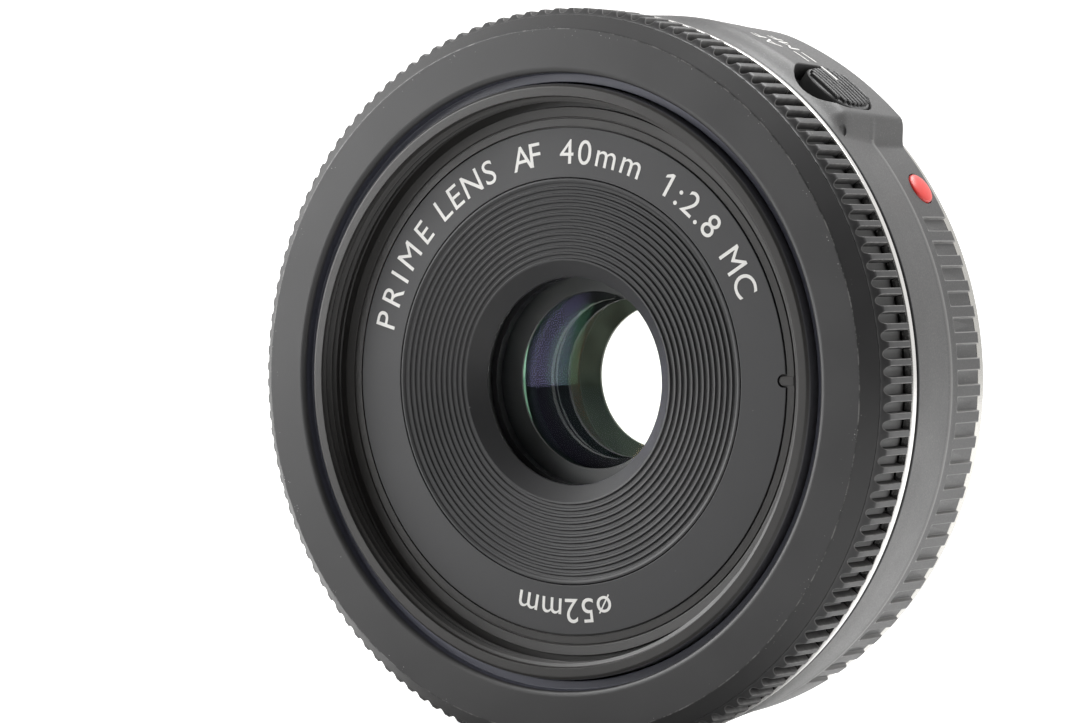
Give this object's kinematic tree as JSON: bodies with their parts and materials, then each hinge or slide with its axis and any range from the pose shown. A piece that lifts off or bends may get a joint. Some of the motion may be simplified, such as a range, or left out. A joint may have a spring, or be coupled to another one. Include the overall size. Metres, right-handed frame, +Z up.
{
  "type": "prime camera lens",
  "caption": "Flat autofocus prime lens for an SLR: bayonet mount, manual focus ring, mode switch, and a front unit on a cam ring that moves out to focus",
  "frame": {"origin": "centre of the rear face of the bayonet flange, which is the lens's reference plane on the camera", "axes": "Y along the optical axis with the front of the lens towards -Y and the bayonet towards +Y, +Z up as the lens sits on a camera"},
  "size_m": [0.0682, 0.0284, 0.0682],
  "materials": {
    "focus_ring_plastic": "matt black, fine grain",
    "inner_black_plastic": "matt black moulding",
    "silver_trim": "bright turned ring",
    "barrel_plastic": "satin dark grey with a metallic fleck",
    "switch_plastic": "satin dark grey",
    "contact_metal": "sprung brass",
    "index_red": "glossy red",
    "mount_metal": "turned and plated",
    "baffle_plastic": "matt black",
    "flex_film": "amber film",
    "circuit_board": "green solder mask",
    "gear_plastic": "natural acetal",
    "brass_parts": "turned brass",
    "motor_steel": "plated steel can",
    "filter_ring_plastic": "satin black, turned threads",
    "name_ring_plastic": "satin dark grey with white lettering",
    "front_baffle_plastic": "black with fine anti-glare ridges",
    "coated_glass": "multicoated glass",
    "optical_glass": "optical glass",
    "blade_steel": "black coated spring steel",
    "gold_contacts": "gold plated",
    "screw_steel": "steel screw"
  },
  "bodies": {
    "root": {"rear_barrel": "barrel_plastic", "silver_trim_ring": "silver_trim", "mount_index_dot": "index_red", "bayonet_mount": "mount_metal", "mount_screw_1": "screw_steel", "mount_screw_2": "screw_steel", "mount_screw_3": "screw_steel", "mount_screw_4": "screw_steel", "rear_light_baffle": "baffle_plastic", "baffle_screw_1": "screw_steel", "baffle_screw_2": "screw_steel", "contact_block": "baffle_plastic", "contact_pin_1": "gold_contacts", "contact_pin_2": "gold_contacts", "contact_pin_3": "gold_contacts", "contact_pin_4": "gold_contacts", "contact_pin_5": "gold_contacts", "contact_pin_6": "gold_contacts", "contact_pin_7": "gold_contacts", "contact_flex": "flex_film", "main_circuit_board": "circuit_board", "focus_light_gate": "inner_black_plastic", "focus_guide_tube": "inner_black_plastic", "focus_motor": "motor_steel"},
    "focus_ring_body": {"focus_ring": "focus_ring_plastic", "focus_encoder_comb": "inner_black_plastic"},
    "focus_switch_body": {"switch_knob": "switch_plastic", "switch_brush": "contact_metal"},
    "cam_ring_body": {"focus_cam_ring": "inner_black_plastic"},
    "idler_body": {"idler_gear": "gear_plastic"},
    "pinion_body": {"motor_pinion": "brass_parts"},
    "optical_unit": {"lens_barrel": "inner_black_plastic", "cam_follower_1": "brass_parts", "cam_follower_2": "brass_parts", "cam_follower_3": "brass_parts", "filter_ring": "filter_ring_plastic", "name_ring": "name_ring_plastic", "front_light_baffle": "front_baffle_plastic", "front_lens_cell": "inner_black_plastic", "front_retaining_ring": "inner_black_plastic", "front_element": "coated_glass", "front_doublet_crown": "optical_glass", "front_doublet_flint": "optical_glass", "diaphragm_base": "inner_black_plastic", "diaphragm_cover": "inner_black_plastic", "aperture_motor": "motor_steel", "rear_lens_cell": "inner_black_plastic", "rear_doublet_flint": "optical_glass", "rear_doublet_crown": "optical_glass", "rear_element": "coated_glass", "rear_retaining_ring": "inner_black_plastic"},
    "iris_ring_body": {"diaphragm_drive_ring": "inner_black_plastic"},
    "blade_1_body": {"aperture_blade_1": "blade_steel"},
    "blade_2_body": {"aperture_blade_2": "blade_steel"},
    "blade_3_body": {"aperture_blade_3": "blade_steel"},
    "blade_4_body": {"aperture_blade_4": "blade_steel"},
    "blade_5_body": {"aperture_blade_5": "blade_steel"},
    "blade_6_body": {"aperture_blade_6": "blade_steel"},
    "blade_7_body": {"aperture_blade_7": "blade_steel"}
  },
  "joints": [
    {"name": "focus_ring_turn", "type": "hinge", "parent": "root", "child": "focus_ring_body", "pos_m": [0, 0, 0], "axis": [0, -1, 0], "continuous": true},
    {"name": "focus_switch_slide", "type": "slide", "parent": "root", "child": "focus_switch_body", "axis": [0, -1, 0], "range_m": [0, 0.0022]},
    {"name": "cam_ring_turn", "type": "hinge", "parent": "root", "child": "cam_ring_body", "pos_m": [0, 0, 0], "axis": [0, -1, 0], "range_deg": [0, 90]},
    {"name": "optical_unit_slide", "type": "slide", "parent": "root", "child": "optical_unit", "axis": [0, -1, 0], "range_m": [0, 0.0072]},
    {"name": "idler_gear_turn", "type": "hinge", "parent": "root", "child": "idler_body", "pos_m": [-0.01767, -0.005, 0.01683], "axis": [0, -1, 0], "range_deg": [-460, 0]},
    {"name": "motor_pinion_turn", "type": "hinge", "parent": "root", "child": "pinion_body", "pos_m": [-0.02208, -0.005, 0.01276], "axis": [0, -1, 0], "range_deg": [0, 920]},
    {"name": "iris_ring_turn", "type": "hinge", "parent": "optical_unit", "child": "iris_ring_body", "pos_m": [0, 0, 0], "axis": [0, -1, 0], "range_deg": [0, 25.2]},
    {"name": "blade_1_turn", "type": "hinge", "parent": "optical_unit", "child": "blade_1_body", "pos_m": [0.0121, -0.0105, 0], "axis": [0, -1, 0], "range_deg": [0, 31.6]},
    {"name": "blade_2_turn", "type": "hinge", "parent": "optical_unit", "child": "blade_2_body", "pos_m": [0.00754, -0.0105, 0.00946], "axis": [0, -1, 0], "range_deg": [0, 31.6]},
    {"name": "blade_3_turn", "type": "hinge", "parent": "optical_unit", "child": "blade_3_body", "pos_m": [-0.00269, -0.0105, 0.0118], "axis": [0, -1, 0], "range_deg": [0, 31.6]},
    {"name": "blade_4_turn", "type": "hinge", "parent": "optical_unit", "child": "blade_4_body", "pos_m": [-0.0109, -0.0105, 0.00525], "axis": [0, -1, 0], "range_deg": [0, 31.6]},
    {"name": "blade_5_turn", "type": "hinge", "parent": "optical_unit", "child": "blade_5_body", "pos_m": [-0.0109, -0.0105, -0.00525], "axis": [0, -1, 0], "range_deg": [0, 31.6]},
    {"name": "blade_6_turn", "type": "hinge", "parent": "optical_unit", "child": "blade_6_body", "pos_m": [-0.00269, -0.0105, -0.0118], "axis": [0, -1, 0], "range_deg": [0, 31.6]},
    {"name": "blade_7_turn", "type": "hinge", "parent": "optical_unit", "child": "blade_7_body", "pos_m": [0.00754, -0.0105, -0.00946], "axis": [0, -1, 0], "range_deg": [0, 31.6]}
  ],
  "couplings": [
    {"joint": "cam_ring_turn", "follows": "optical_unit_slide", "rad_per_m": 218.17},
    {"joint": "idler_gear_turn", "follows": "optical_unit_slide", "rad_per_m": -1112.6},
    {"joint": "motor_pinion_turn", "follows": "optical_unit_slide", "rad_per_m": 2225.3},
    {"joint": "blade_1_turn", "follows": "iris_ring_turn", "ratio": 1.25},
    {"joint": "blade_2_turn", "follows": "iris_ring_turn", "ratio": 1.25},
    {"joint": "blade_3_turn", "follows": "iris_ring_turn", "ratio": 1.25},
    {"joint": "blade_4_turn", "follows": "iris_ring_turn", "ratio": 1.25},
    {"joint": "blade_5_turn", "follows": "iris_ring_turn", "ratio": 1.25},
    {"joint": "blade_6_turn", "follows": "iris_ring_turn", "ratio": 1.25},
    {"joint": "blade_7_turn", "follows": "iris_ring_turn", "ratio": 1.25}
  ]
}
